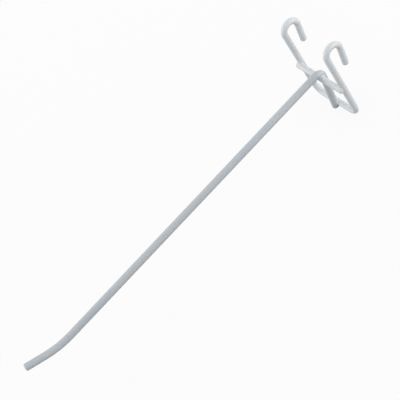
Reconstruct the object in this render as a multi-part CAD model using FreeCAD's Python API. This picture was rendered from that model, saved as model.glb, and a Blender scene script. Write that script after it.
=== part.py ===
import FreeCAD, Part
import math
import os

from FreeCAD import Vector

# Pegboard hook made of three round wires, welded where they cross and powder coated.
# +Z is up, -Y points out of the board towards the user, +X runs along the row of holes.
# The origin lies midway between the two hooks, on the plane that the backs of the legs
# touch, at the height where the underside of each hook turn bears on the board.

# Wires, measured over the coating
frame_wire_diameter = 5.4
cross_wire_diameter = 5.4
prong_wire_diameter = 6.2
wire_end_chamfer = 0.8

# Welds: how far two crossing wires are pressed into each other, and the leg of the fillet
# of weld metal and coating round them
weld_set_down = 2.5
weld_fillet_leg = 0.8

# Back frame: a wide U of wire with a hook turned on the top of each leg
hook_spacing = 50.8
hook_turn_radius = 7.1
hook_turn = 187.0
hook_tip_length = 18.2
leg_straight_length = 63.3
bottom_corner_radius = 9.6

# Cross wire: straight, welded across the front of both legs, its ends just short of their
# outer sides
cross_wire_drop = 40.9
cross_wire_overhang = -0.6

# Prong: its drop leg runs behind the cross wire and in front of the bottom run
drop_leg_overrun = 0.6
prong_rise = 4.7
prong_bend_radius = 5.7
prong_slope = 0.0
prong_reach = 332.8
prong_tip_bend_radius = 60.5
prong_tip_angle = 23.4
prong_tip_length = 18.6

UP = Vector(0, 0, 1)
RIGHT = Vector(1, 0, 0)
BACK = Vector(0, 1, 0)

# Axis distances of crossing wires
leg_to_cross_wire = (frame_wire_diameter + cross_wire_diameter) / 2 - weld_set_down
cross_wire_to_drop_leg = (cross_wire_diameter + prong_wire_diameter) / 2 - weld_set_down
drop_leg_to_bottom_run = (prong_wire_diameter + frame_wire_diameter) / 2 - weld_set_down

# Places of the wire axes
leg_y = -frame_wire_diameter / 2
hook_turn_start_z = frame_wire_diameter / 2 - hook_turn_radius
bottom_run_z = hook_turn_start_z - leg_straight_length - bottom_corner_radius
cross_wire_y = leg_y - leg_to_cross_wire
cross_wire_z = -cross_wire_drop
cross_wire_length = hook_spacing + frame_wire_diameter + 2 * cross_wire_overhang


def turned(vector, axis, degrees):
    """The vector turned about an axis through the origin."""
    return FreeCAD.Rotation(axis, degrees).multVec(vector)


def bend_wire(start, heading, steps):
    """Edges of a bent wire's axis: each step feeds a length, or bends (radius, degrees, axis)."""
    edges = []
    place = start
    for step in steps:
        if isinstance(step, tuple):
            radius, degrees, axis = step
            centre = place + axis.cross(heading) * radius
            middle = centre + turned(place - centre, axis, degrees / 2)
            end = centre + turned(place - centre, axis, degrees)
            edges.append(Part.Arc(place, middle, end).toShape())
            heading = turned(heading, axis, degrees)
        else:
            end = place + heading * step
            edges.append(Part.LineSegment(place, end).toShape())
        place = end
    return edges, place, heading


def wire_rod(edges, start, heading, diameter):
    """A round wire swept along its axis, with square ends."""
    section = Part.Face(Part.Wire(Part.makeCircle(diameter / 2, start, heading)))
    return Part.Wire(edges).makePipe(section)


def with_chamfered_ends(rod):
    """The wire with the rims of its two flat ends chamfered."""
    rims = []
    for face in rod.Faces:
        if isinstance(face.Surface, Part.Plane):
            rims.extend(face.OuterWire.Edges)
    return rod.makeChamfer(wire_end_chamfer, rims)


def bend_back_frame():
    """One wire: hook, leg, bottom run, leg, hook."""
    half_run = hook_spacing / 2 - bottom_corner_radius
    start = Vector(-half_run, leg_y, bottom_run_z)
    sides = []
    for side in (-1, 1):
        steps = [
            (bottom_corner_radius, 90, BACK * -side),
            leg_straight_length,
            (hook_turn_radius, hook_turn, RIGHT * -1),
            hook_tip_length,
        ]
        if side > 0:
            steps.insert(0, 2 * half_run)
        sides.append(bend_wire(start, RIGHT * side, steps))
    (left_edges, left_end, left_heading), (right_edges, _, _) = sides
    path = list(reversed(left_edges)) + right_edges
    return wire_rod(path, left_end, left_heading, frame_wire_diameter)


def cut_cross_wire(length):
    """A straight length across the front of both legs."""
    start = Vector(-length / 2, cross_wire_y, cross_wire_z)
    edges, _, _ = bend_wire(start, RIGHT, [length])
    return wire_rod(edges, start, RIGHT, cross_wire_diameter)


def drop_leg_lean():
    """Angle from upright of the line that passes behind the cross wire and before the run."""
    height = cross_wire_z - bottom_run_z
    centres = math.hypot(leg_to_cross_wire, height)
    across = cross_wire_to_drop_leg + drop_leg_to_bottom_run
    return math.atan2(height, leg_to_cross_wire) - math.acos(across / centres)


def drop_leg_end(overrun):
    """The drop leg's lower end, which runs on below the bottom run, and the way up from it."""
    lean = drop_leg_lean()
    towards_run = Vector(0, math.cos(lean), -math.sin(lean))
    upwards = Vector(0, math.sin(lean), math.cos(lean))
    at_bottom_run = Vector(0, leg_y, bottom_run_z) - towards_run * drop_leg_to_bottom_run
    return at_bottom_run - upwards * (frame_wire_diameter / 2 + overrun), upwards


def bend_prong(overrun):
    """One wire: drop leg, bend over the cross wire, long run, upturned tip."""
    start, upwards = drop_leg_end(overrun)
    bend = 90 + math.degrees(drop_leg_lean()) - prong_slope
    square_to_run = turned(UP, RIGHT, -prong_slope)
    over_cross_wire = Vector(0, cross_wire_y, cross_wire_z + prong_rise)
    to_corner = (over_cross_wire - start).dot(square_to_run) / upwards.dot(square_to_run)
    steps = [
        to_corner - prong_bend_radius * math.tan(math.radians(bend / 2)),
        (prong_bend_radius, bend, RIGHT),
    ]
    _, run_start, run_heading = bend_wire(start, upwards, steps)

    tip_steps = [
        (prong_tip_bend_radius, prong_tip_angle, RIGHT * -1),
        prong_tip_length,
    ]
    _, tip_end, _ = bend_wire(run_start, run_heading, tip_steps)
    run_length = (prong_reach + tip_end.y) / -run_heading.y
    edges, _, _ = bend_wire(start, upwards, steps + [run_length] + tip_steps)
    return wire_rod(edges, start, upwards, prong_wire_diameter)


def weld_fillets(frame_rod):
    """The weld metal and coating that fill the nips round each crossing of two wires."""
    long_cross = cut_cross_wire(cross_wire_length + 2 * cross_wire_diameter)
    long_prong = bend_prong(drop_leg_overrun + prong_wire_diameter)
    crossings = ((long_cross, frame_rod), (long_prong, long_cross), (long_prong, frame_rod))
    fillets = []
    for rod, other_rod in crossings:
        joined = rod.fuse(other_rod)
        nips = []
        for edge in joined.Edges:
            if isinstance(edge.Curve, Part.BSplineCurve):
                nips.append(edge)
        fillets.append(joined.makeChamfer(weld_fillet_leg, nips).cut(joined))

    # No fillet runs on past the start of a wire's end chamfer
    half_width = cross_wire_length / 2 - wire_end_chamfer
    lowest = drop_leg_end(drop_leg_overrun)[0].z + wire_end_chamfer
    depth = -2 * lowest
    room = Part.makeBox(2 * half_width, depth, -lowest, Vector(-half_width, -depth / 2, lowest))
    trimmed = []
    for fillet in fillets:
        trimmed.extend(fillet.common(room).Solids)
    return Part.makeCompound(trimmed)


os.makedirs("parts", exist_ok=True)
square_frame = bend_back_frame()
frame = with_chamfered_ends(square_frame)
cross = with_chamfered_ends(cut_cross_wire(cross_wire_length))
prong = with_chamfered_ends(bend_prong(drop_leg_overrun))
pieces = {
    "back_frame_wire": frame,
    "cross_wire": cross.cut(frame),
    "prong_wire": prong.cut([frame, cross]),
    "weld_fillets": weld_fillets(square_frame),
}

for node, shape in pieces.items():
    shape.exportStep("parts/" + node + ".step")
    box = shape.optimalBoundingBox()
    print(node, len(shape.Solids), shape.isValid(), round(shape.Volume, 2),
          [round(v, 2) for v in (box.XMin, box.YMin, box.ZMin, box.XMax, box.YMax, box.ZMax)])
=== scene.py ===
import bmesh
import bpy
import math
from mathutils import Matrix, Quaternion, Vector


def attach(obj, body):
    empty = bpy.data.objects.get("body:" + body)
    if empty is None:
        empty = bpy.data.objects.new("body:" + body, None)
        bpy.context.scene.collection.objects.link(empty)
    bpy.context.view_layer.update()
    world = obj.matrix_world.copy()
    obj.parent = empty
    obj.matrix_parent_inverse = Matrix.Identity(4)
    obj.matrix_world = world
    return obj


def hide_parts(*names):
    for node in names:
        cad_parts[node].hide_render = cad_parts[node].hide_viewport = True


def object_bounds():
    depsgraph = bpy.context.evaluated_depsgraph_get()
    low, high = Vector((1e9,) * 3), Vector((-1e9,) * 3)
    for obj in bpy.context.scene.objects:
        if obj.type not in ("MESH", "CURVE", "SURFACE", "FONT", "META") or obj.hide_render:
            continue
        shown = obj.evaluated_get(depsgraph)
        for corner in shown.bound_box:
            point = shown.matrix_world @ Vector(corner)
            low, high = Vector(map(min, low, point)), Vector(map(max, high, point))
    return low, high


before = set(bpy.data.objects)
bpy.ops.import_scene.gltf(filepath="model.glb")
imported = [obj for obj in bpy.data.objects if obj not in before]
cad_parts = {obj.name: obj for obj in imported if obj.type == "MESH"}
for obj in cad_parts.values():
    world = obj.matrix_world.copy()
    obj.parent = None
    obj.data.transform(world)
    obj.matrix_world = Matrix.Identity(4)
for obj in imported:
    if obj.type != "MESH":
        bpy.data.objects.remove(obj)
cad_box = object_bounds()


# Back frame wire
# One length of 5.4 mm steel wire, bent to a wide U with a hook turned over the top of each
# leg, then powder coated white. The hooks go through two holes of the board.
WIRE_RADIUS = 0.0027
LEG_Y = -WIRE_RADIUS
HALF_HOOK_SPACING = 0.0254
HOOK_TURN_RADIUS = 0.0071
HOOK_TURN = math.radians(187.0)
HOOK_TIP_LENGTH = 0.0182
LEG_LENGTH = 0.0633
CORNER_RADIUS = 0.0096
CORNER_TURN = math.radians(90.0)
BOTTOM_RUN_Z = -0.0773

WIRE_SIDES = 48
LENGTH_PER_RING = 0.003
ANGLE_PER_RING = math.radians(6.0)
FEWEST_BEND_RINGS = 4
END_ROUNDING = 0.0011
END_ROUNDING_STEPS = 6
SEAM_MERGE = 0.00001
DOUBLES_MERGE = 0.000005

RIGHT = Vector((1, 0, 0))
BACK = Vector((0, 1, 0))
UP = Vector((0, 0, 1))


def wire_start(bm, place, heading, radius):
    """A ring of edges square to the wire, from which it is drawn out."""
    turn = UP.rotation_difference(heading).to_matrix().to_4x4()
    made = bmesh.ops.create_circle(
        bm, cap_ends=False, segments=WIRE_SIDES, radius=radius,
        matrix=Matrix.Translation(place) @ turn)
    return list({edge for corner in made["verts"] for edge in corner.link_edges})


def draw_straight(bm, ring, place, heading, length):
    """Feeds a straight length of wire and returns its last ring and its end."""
    count = max(1, round(length / LENGTH_PER_RING))
    for _ in range(count):
        grown = bmesh.ops.extrude_edge_only(bm, edges=ring)["geom"]
        ring = [part for part in grown if isinstance(part, bmesh.types.BMEdge)]
        ring = [edge for edge in ring if all(v in grown for v in edge.verts)]
        bmesh.ops.translate(
            bm, verts=[part for part in grown if isinstance(part, bmesh.types.BMVert)],
            vec=heading * (length / count))
    return ring, place + heading * length


def draw_bend(bm, ring, place, heading, radius, angle, axis):
    """Bends the wire about an axis and returns its last ring, its end and its heading."""
    centre = place + axis.cross(heading) * radius
    corners = list({v for edge in ring for v in edge.verts})
    made = bmesh.ops.spin(
        bm, geom=corners + ring, cent=centre, axis=axis, angle=angle,
        steps=max(FEWEST_BEND_RINGS, round(angle / ANGLE_PER_RING)),
        use_merge=False, use_duplicate=False)
    ring = [part for part in made["geom_last"] if isinstance(part, bmesh.types.BMEdge)]
    turn = Quaternion(axis, angle)
    return ring, centre + turn @ (place - centre), turn @ heading


def close_end(bm, ring):
    """Closes a cut end and rounds its rim, as the coating does."""
    cap = bmesh.ops.contextual_create(bm, geom=ring)["faces"]
    bmesh.ops.bevel(
        bm, geom=list(cap[0].edges), offset=END_ROUNDING, offset_type="OFFSET",
        affect="EDGES", segments=END_ROUNDING_STEPS, profile=0.5, material=-1)


def mirror_to_left(bm):
    """Mirrors the right half and joins the two at the middle."""
    bmesh.ops.mirror(
        bm, geom=list(bm.verts) + list(bm.edges) + list(bm.faces),
        matrix=Matrix.Identity(4), merge_dist=SEAM_MERGE, axis="X")
    bmesh.ops.remove_doubles(bm, verts=bm.verts, dist=DOUBLES_MERGE)


def finished_piece(name, bm, material, replaced):
    """The piece as an object that rides on the one body."""
    bmesh.ops.recalc_face_normals(bm, faces=bm.faces)
    mesh = bpy.data.meshes.new(name)
    bm.to_mesh(mesh)
    bm.free()
    mesh.polygons.foreach_set("use_smooth", [True] * len(mesh.polygons))
    mesh.materials.append(material)
    piece = bpy.data.objects.new(name, mesh)
    bpy.context.scene.collection.objects.link(piece)
    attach(piece, "root")
    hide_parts(replaced)
    return piece


# Powder coat: noise scales are per metre, heights in metres
COAT_IOR = 1.5
COAT_ROUGHNESS = 0.38
ROUGHNESS_SPREAD = 0.06
CLOUD_SCALE = 45.0
CLOUD_DETAIL = 3.0
WAVE_SCALE = 160.0
WAVE_DETAIL = 1.0
WAVE_STRENGTH = 0.5
WAVE_HEIGHT = 0.00003
PEEL_SCALE = 1100.0
PEEL_DETAIL = 1.5
PEEL_STRENGTH = 0.8
PEEL_HEIGHT = 0.00005
FRAME_COLOUR = (0.765, 0.79, 0.815)
FRAME_SHADE = (0.705, 0.73, 0.755)


def unevenness(tree, place, scale, detail):
    """Noise on the piece's own coordinates."""
    noise = tree.nodes.new("ShaderNodeTexNoise")
    noise.inputs["Scale"].default_value = scale
    noise.inputs["Detail"].default_value = detail
    tree.links.new(place.outputs["Object"], noise.inputs["Vector"])
    return noise.outputs["Fac"]


def relief(tree, noise, strength, height):
    """A bump that follows the noise."""
    bump = tree.nodes.new("ShaderNodeBump")
    bump.inputs["Strength"].default_value = strength
    bump.inputs["Distance"].default_value = height
    tree.links.new(noise, bump.inputs["Height"])
    return bump


def coating(name, colour, shade):
    """Powder coat: faint clouds in tone and gloss, slow waves in thickness, and a fine
    orange peel."""
    material = bpy.data.materials.new(name)
    material.use_nodes = True
    tree = material.node_tree
    nodes = tree.nodes
    link = tree.links.new
    shader = nodes["Principled BSDF"]
    shader.inputs["IOR"].default_value = COAT_IOR
    place = nodes.new("ShaderNodeTexCoord")

    clouds = unevenness(tree, place, CLOUD_SCALE, CLOUD_DETAIL)
    tone = nodes.new("ShaderNodeMix")
    tone.data_type = "RGBA"
    tone.inputs["A"].default_value = (*shade, 1.0)
    tone.inputs["B"].default_value = (*colour, 1.0)
    link(clouds, tone.inputs["Factor"])
    link(tone.outputs["Result"], shader.inputs["Base Color"])
    gloss = nodes.new("ShaderNodeMapRange")
    gloss.inputs["To Min"].default_value = COAT_ROUGHNESS - ROUGHNESS_SPREAD
    gloss.inputs["To Max"].default_value = COAT_ROUGHNESS + ROUGHNESS_SPREAD
    link(clouds, gloss.inputs["Value"])
    link(gloss.outputs["Result"], shader.inputs["Roughness"])

    waves = unevenness(tree, place, WAVE_SCALE, WAVE_DETAIL)
    slow_bump = relief(tree, waves, WAVE_STRENGTH, WAVE_HEIGHT)
    peel = unevenness(tree, place, PEEL_SCALE, PEEL_DETAIL)
    fine_bump = relief(tree, peel, PEEL_STRENGTH, PEEL_HEIGHT)
    link(slow_bump.outputs["Normal"], fine_bump.inputs["Normal"])
    link(fine_bump.outputs["Normal"], shader.inputs["Normal"])
    return material


frame_coating = coating("frame_coating", FRAME_COLOUR, FRAME_SHADE)

# The right half is bent from the middle of the bottom run and mirrored to the left
bm = bmesh.new()
place, heading = Vector((0, LEG_Y, BOTTOM_RUN_Z)), RIGHT
ring = wire_start(bm, place, heading, WIRE_RADIUS)
ring, place = draw_straight(bm, ring, place, heading, HALF_HOOK_SPACING - CORNER_RADIUS)
ring, place, heading = draw_bend(
    bm, ring, place, heading, CORNER_RADIUS, CORNER_TURN, -BACK)
ring, place = draw_straight(bm, ring, place, heading, LEG_LENGTH)
ring, place, heading = draw_bend(
    bm, ring, place, heading, HOOK_TURN_RADIUS, HOOK_TURN, -RIGHT)
ring, place = draw_straight(bm, ring, place, heading, HOOK_TIP_LENGTH)
close_end(bm, ring)
mirror_to_left(bm)
finished_piece("back_frame_coated", bm, frame_coating, "back_frame_wire")


# Cross wire
# A straight length of the same wire, welded across the front of both legs before coating.
# Its cut ends stop just short of the legs' outer sides.
CROSS_WIRE_Y = -0.0056
CROSS_WIRE_Z = -0.0409
HALF_CROSS_WIRE = 0.0275

bm = bmesh.new()
place = Vector((0, CROSS_WIRE_Y, CROSS_WIRE_Z))
ring = wire_start(bm, place, RIGHT, WIRE_RADIUS)
ring, place = draw_straight(bm, ring, place, RIGHT, HALF_CROSS_WIRE)
close_end(bm, ring)
mirror_to_left(bm)
finished_piece("cross_wire_coated", bm, frame_coating, "cross_wire")


# Prong wire
# One length of 6.2 mm wire. Its drop leg comes up in front of the bottom run and behind
# the cross wire, bends over the top of it, and runs out level to an upturned tip.
PRONG_WIRE_RADIUS = 0.0031
DROP_LEG_LEAN = math.radians(5.858)
DROP_LEG_START = Vector((0, -0.006320, -0.080246))
PRONG_BEND_RADIUS = 0.0057
PRONG_BEND = math.radians(90.0) + DROP_LEG_LEAN
PRONG_Z = -0.0362
PRONG_REACH_Y = -0.3328
PRONG_TIP_BEND_RADIUS = 0.0605
PRONG_TIP_ANGLE = math.radians(23.4)
PRONG_TIP_LENGTH = 0.0186
# The prong has the same white powder coat as the frame. Both of its colours are set darker
# than the frame's as painted shade, so the prong renders darker than the frame under this
# light.
PRONG_COAT_IN_PAINTED_SHADE = (0.565, 0.60, 0.635)
PRONG_COAT_TONE_IN_PAINTED_SHADE = (0.505, 0.54, 0.575)

# A darker copy of the frame's coating: the darkening is painted shade, not a different
# coat.
prong_coating = coating("prong_coating", PRONG_COAT_IN_PAINTED_SHADE, PRONG_COAT_TONE_IN_PAINTED_SHADE)

drop_leg_up = Vector((0, math.sin(DROP_LEG_LEAN), math.cos(DROP_LEG_LEAN)))
to_corner = (PRONG_Z - DROP_LEG_START.z) / drop_leg_up.z
drop_leg_length = to_corner - PRONG_BEND_RADIUS * math.tan(PRONG_BEND / 2)
tip_reach = (PRONG_TIP_BEND_RADIUS * math.sin(PRONG_TIP_ANGLE)
             + PRONG_TIP_LENGTH * math.cos(PRONG_TIP_ANGLE))

bm = bmesh.new()
start_ring = wire_start(bm, DROP_LEG_START, drop_leg_up, PRONG_WIRE_RADIUS)
ring, drop_leg_top = draw_straight(
    bm, start_ring, DROP_LEG_START, drop_leg_up, drop_leg_length)
ring, place, heading = draw_bend(
    bm, ring, drop_leg_top, drop_leg_up, PRONG_BEND_RADIUS, PRONG_BEND, RIGHT)
ring, place = draw_straight(
    bm, ring, place, heading, place.y - PRONG_REACH_Y - tip_reach)
ring, place, heading = draw_bend(
    bm, ring, place, heading, PRONG_TIP_BEND_RADIUS, PRONG_TIP_ANGLE, -RIGHT)
ring, place = draw_straight(bm, ring, place, heading, PRONG_TIP_LENGTH)
close_end(bm, ring)
close_end(bm, start_ring)
finished_piece("prong_coated", bm, prong_coating, "prong_wire")


# Weld fillets
# Welds at the four crossings, whose metal and coating fill the nips with a smooth fillet.
# Short lengths of the wires are melted together, and only the fillets stand out of them.
WELD_REACH = 0.0055
WELD_END_GAP = 0.0005
WELD_GRID = 0.00025
WELD_FLOW = 0.5
WELD_FLOW_ROUNDS = 20


def closed_length(bm, place, heading, length, radius):
    """A straight length of wire with both its ends closed."""
    start_ring = wire_start(bm, place, heading, radius)
    ring, _ = draw_straight(bm, start_ring, place, heading, length)
    close_end(bm, ring)
    close_end(bm, start_ring)


bm = bmesh.new()
inner_end = HALF_HOOK_SPACING - WELD_REACH
for side in (-1, 1):
    place = Vector((side * HALF_HOOK_SPACING, LEG_Y, CROSS_WIRE_Z - WELD_REACH))
    closed_length(bm, place, UP, 2 * WELD_REACH, WIRE_RADIUS)
    outwards = RIGHT * side
    place = outwards * inner_end + Vector((0, CROSS_WIRE_Y, CROSS_WIRE_Z))
    closed_length(
        bm, place, outwards, HALF_CROSS_WIRE - WELD_END_GAP - inner_end, WIRE_RADIUS)
for y, z in ((CROSS_WIRE_Y, CROSS_WIRE_Z), (LEG_Y, BOTTOM_RUN_Z)):
    closed_length(bm, Vector((-WELD_REACH, y, z)), RIGHT, 2 * WELD_REACH, WIRE_RADIUS)
place = DROP_LEG_START + drop_leg_up * WELD_END_GAP
closed_length(bm, place, drop_leg_up, 2 * WELD_REACH, PRONG_WIRE_RADIUS)

place = drop_leg_top - drop_leg_up * WELD_REACH
start_ring = wire_start(bm, place, drop_leg_up, PRONG_WIRE_RADIUS)
ring, place = draw_straight(bm, start_ring, place, drop_leg_up, WELD_REACH)
ring, place, heading = draw_bend(
    bm, ring, place, drop_leg_up, PRONG_BEND_RADIUS, PRONG_BEND, RIGHT)
ring, place = draw_straight(bm, ring, place, heading, WELD_REACH)
close_end(bm, ring)
close_end(bm, start_ring)

fillets = finished_piece(
    "weld_fillets_coated", bm, frame_coating, "weld_fillets")
melt = fillets.modifiers.new("melted_together", "REMESH")
melt.mode = "VOXEL"
melt.voxel_size = WELD_GRID
melt.use_smooth_shade = True
flow = fillets.modifiers.new("flowed_smooth", "SMOOTH")
flow.factor = WELD_FLOW
flow.iterations = WELD_FLOW_ROUNDS


# Floor
# A plain pale table under the hook. To the camera and in reflections it is white, with the
# hook's faint soft shadow, and it throws little light back up under the wires.
FLOOR_HALF_WIDTH = 6.0
FLOOR_MIDDLE_Y = -0.15
FLOOR_GAP = 0.0002
FLOOR_TO_THE_HOOK = 0.12
FLOOR_TO_THE_EYE = 0.80
FLOOR_ROUGHNESS = 0.9
FLOOR_GLOW = 0.90


def seen_or_mirrored(tree):
    """1 where the ray comes from the camera, a reflection or glass, and 0 elsewhere."""
    path = tree.nodes.new("ShaderNodeLightPath")
    total = path.outputs["Is Camera Ray"]
    for kind in ("Is Glossy Ray", "Is Transmission Ray"):
        add = tree.nodes.new("ShaderNodeMath")
        add.operation = "ADD"
        add.use_clamp = True
        tree.links.new(total, add.inputs[0])
        tree.links.new(path.outputs[kind], add.inputs[1])
        total = add.outputs[0]
    return total


bm = bmesh.new()
bmesh.ops.create_grid(
    bm, x_segments=1, y_segments=1, size=FLOOR_HALF_WIDTH,
    matrix=Matrix.Translation((0, FLOOR_MIDDLE_Y, cad_box[0].z - FLOOR_GAP)))
floor_mesh = bpy.data.meshes.new("floor")
bm.to_mesh(floor_mesh)
bm.free()
floor = bpy.data.objects.new("floor", floor_mesh)
bpy.context.scene.collection.objects.link(floor)

pale = bpy.data.materials.new("pale_floor")
pale.use_nodes = True
nodes = pale.node_tree.nodes
link = pale.node_tree.links.new
seen = seen_or_mirrored(pale.node_tree)
tone = nodes.new("ShaderNodeMix")
tone.data_type = "RGBA"
tone.inputs["A"].default_value = (*[FLOOR_TO_THE_HOOK] * 3, 1.0)
tone.inputs["B"].default_value = (*[FLOOR_TO_THE_EYE] * 3, 1.0)
link(seen, tone.inputs["Factor"])
lit = nodes["Principled BSDF"]
lit.inputs["Roughness"].default_value = FLOOR_ROUGHNESS
link(tone.outputs["Result"], lit.inputs["Base Color"])
glow = nodes.new("ShaderNodeEmission")
glow.inputs["Strength"].default_value = 1.0
share = nodes.new("ShaderNodeMath")
share.operation = "MULTIPLY"
share.inputs[1].default_value = FLOOR_GLOW
link(seen, share.inputs[0])
blend = nodes.new("ShaderNodeMixShader")
link(share.outputs[0], blend.inputs["Fac"])
link(lit.outputs["BSDF"], blend.inputs[1])
link(glow.outputs["Emission"], blend.inputs[2])
link(blend.outputs["Shader"], nodes["Material Output"].inputs["Surface"])
floor_mesh.materials.append(pale)


# Light
# An even surround, white to the camera and in reflections. A broad soft lamp stands before
# the prong's tip, a weaker one on the right, and two weak ones behind and above left.
SURROUND_TO_THE_HOOK = 0.62
SURROUND_TO_THE_EYE = 1.0
HOOK_MIDDLE = Vector((0, -0.10, -0.04))

# Name, direction from the hook's middle, distance, width and watts
LAMPS = (
    ("back_lamp", Vector((0.25, 0.96, 0.0)), 1.0, 0.9, 3.0),
    ("right_lamp", Vector((0.80, 0.60, 0.1)), 1.0, 0.8, 5.0),
    ("front_lamp", Vector((-0.45, -0.88, 0.15)), 3.2, 2.2, 50.0),
    ("left_lamp", Vector((-0.70, 0.0, 0.7)), 1.2, 1.0, 2.3),
)

world = bpy.data.worlds.new("studio")
bpy.context.scene.world = world
world.use_nodes = True
nodes = world.node_tree.nodes
link = world.node_tree.links.new
surround = nodes["Background"]
surround.inputs["Color"].default_value = (1.0, 1.0, 1.0, 1.0)
level = nodes.new("ShaderNodeMapRange")
level.inputs["To Min"].default_value = SURROUND_TO_THE_HOOK
level.inputs["To Max"].default_value = SURROUND_TO_THE_EYE
link(seen_or_mirrored(world.node_tree), level.inputs["Value"])
link(level.outputs["Result"], surround.inputs["Strength"])

for name, direction, distance, width, watts in LAMPS:
    lamp = bpy.data.lights.new(name, "AREA")
    lamp.shape = "DISK"
    lamp.size = width
    lamp.energy = watts
    holder = bpy.data.objects.new(name, lamp)
    bpy.context.scene.collection.objects.link(holder)
    holder.location = HOOK_MIDDLE + direction.normalized() * distance
    holder.rotation_mode = "QUATERNION"
    holder.rotation_quaternion = (-direction).to_track_quat("-Z", "Y")


# Camera
# Above the hook's right side, turned so that the prong runs to the lower left.
CAMERA_AZIMUTH = math.radians(81.56346)
CAMERA_ELEVATION = math.radians(47.76409)
CAMERA_ROLL = math.radians(-40.34493)
CAMERA_DISTANCE = 0.900724
CAMERA_AIM = Vector((0.00046989, -0.14491209, -0.03690364))
CAMERA_SENSOR_WIDTH = 36.0
CAMERA_LENS = 102.271

camera_data = bpy.data.cameras.new("camera")
camera_data.sensor_width = CAMERA_SENSOR_WIDTH
camera_data.lens = CAMERA_LENS
camera = bpy.data.objects.new("camera", camera_data)
bpy.context.scene.collection.objects.link(camera)
bpy.context.scene.camera = camera
towards_camera = Vector((
    math.sin(CAMERA_AZIMUTH) * math.cos(CAMERA_ELEVATION),
    -math.cos(CAMERA_AZIMUTH) * math.cos(CAMERA_ELEVATION),
    math.sin(CAMERA_ELEVATION)))
camera.location = CAMERA_AIM + towards_camera * CAMERA_DISTANCE
camera.rotation_mode = "QUATERNION"
camera.rotation_quaternion = (
    (-towards_camera).to_track_quat("-Z", "Y") @ Quaternion((0, 0, 1), CAMERA_ROLL))
bpy.context.scene.view_settings.view_transform = "Standard"
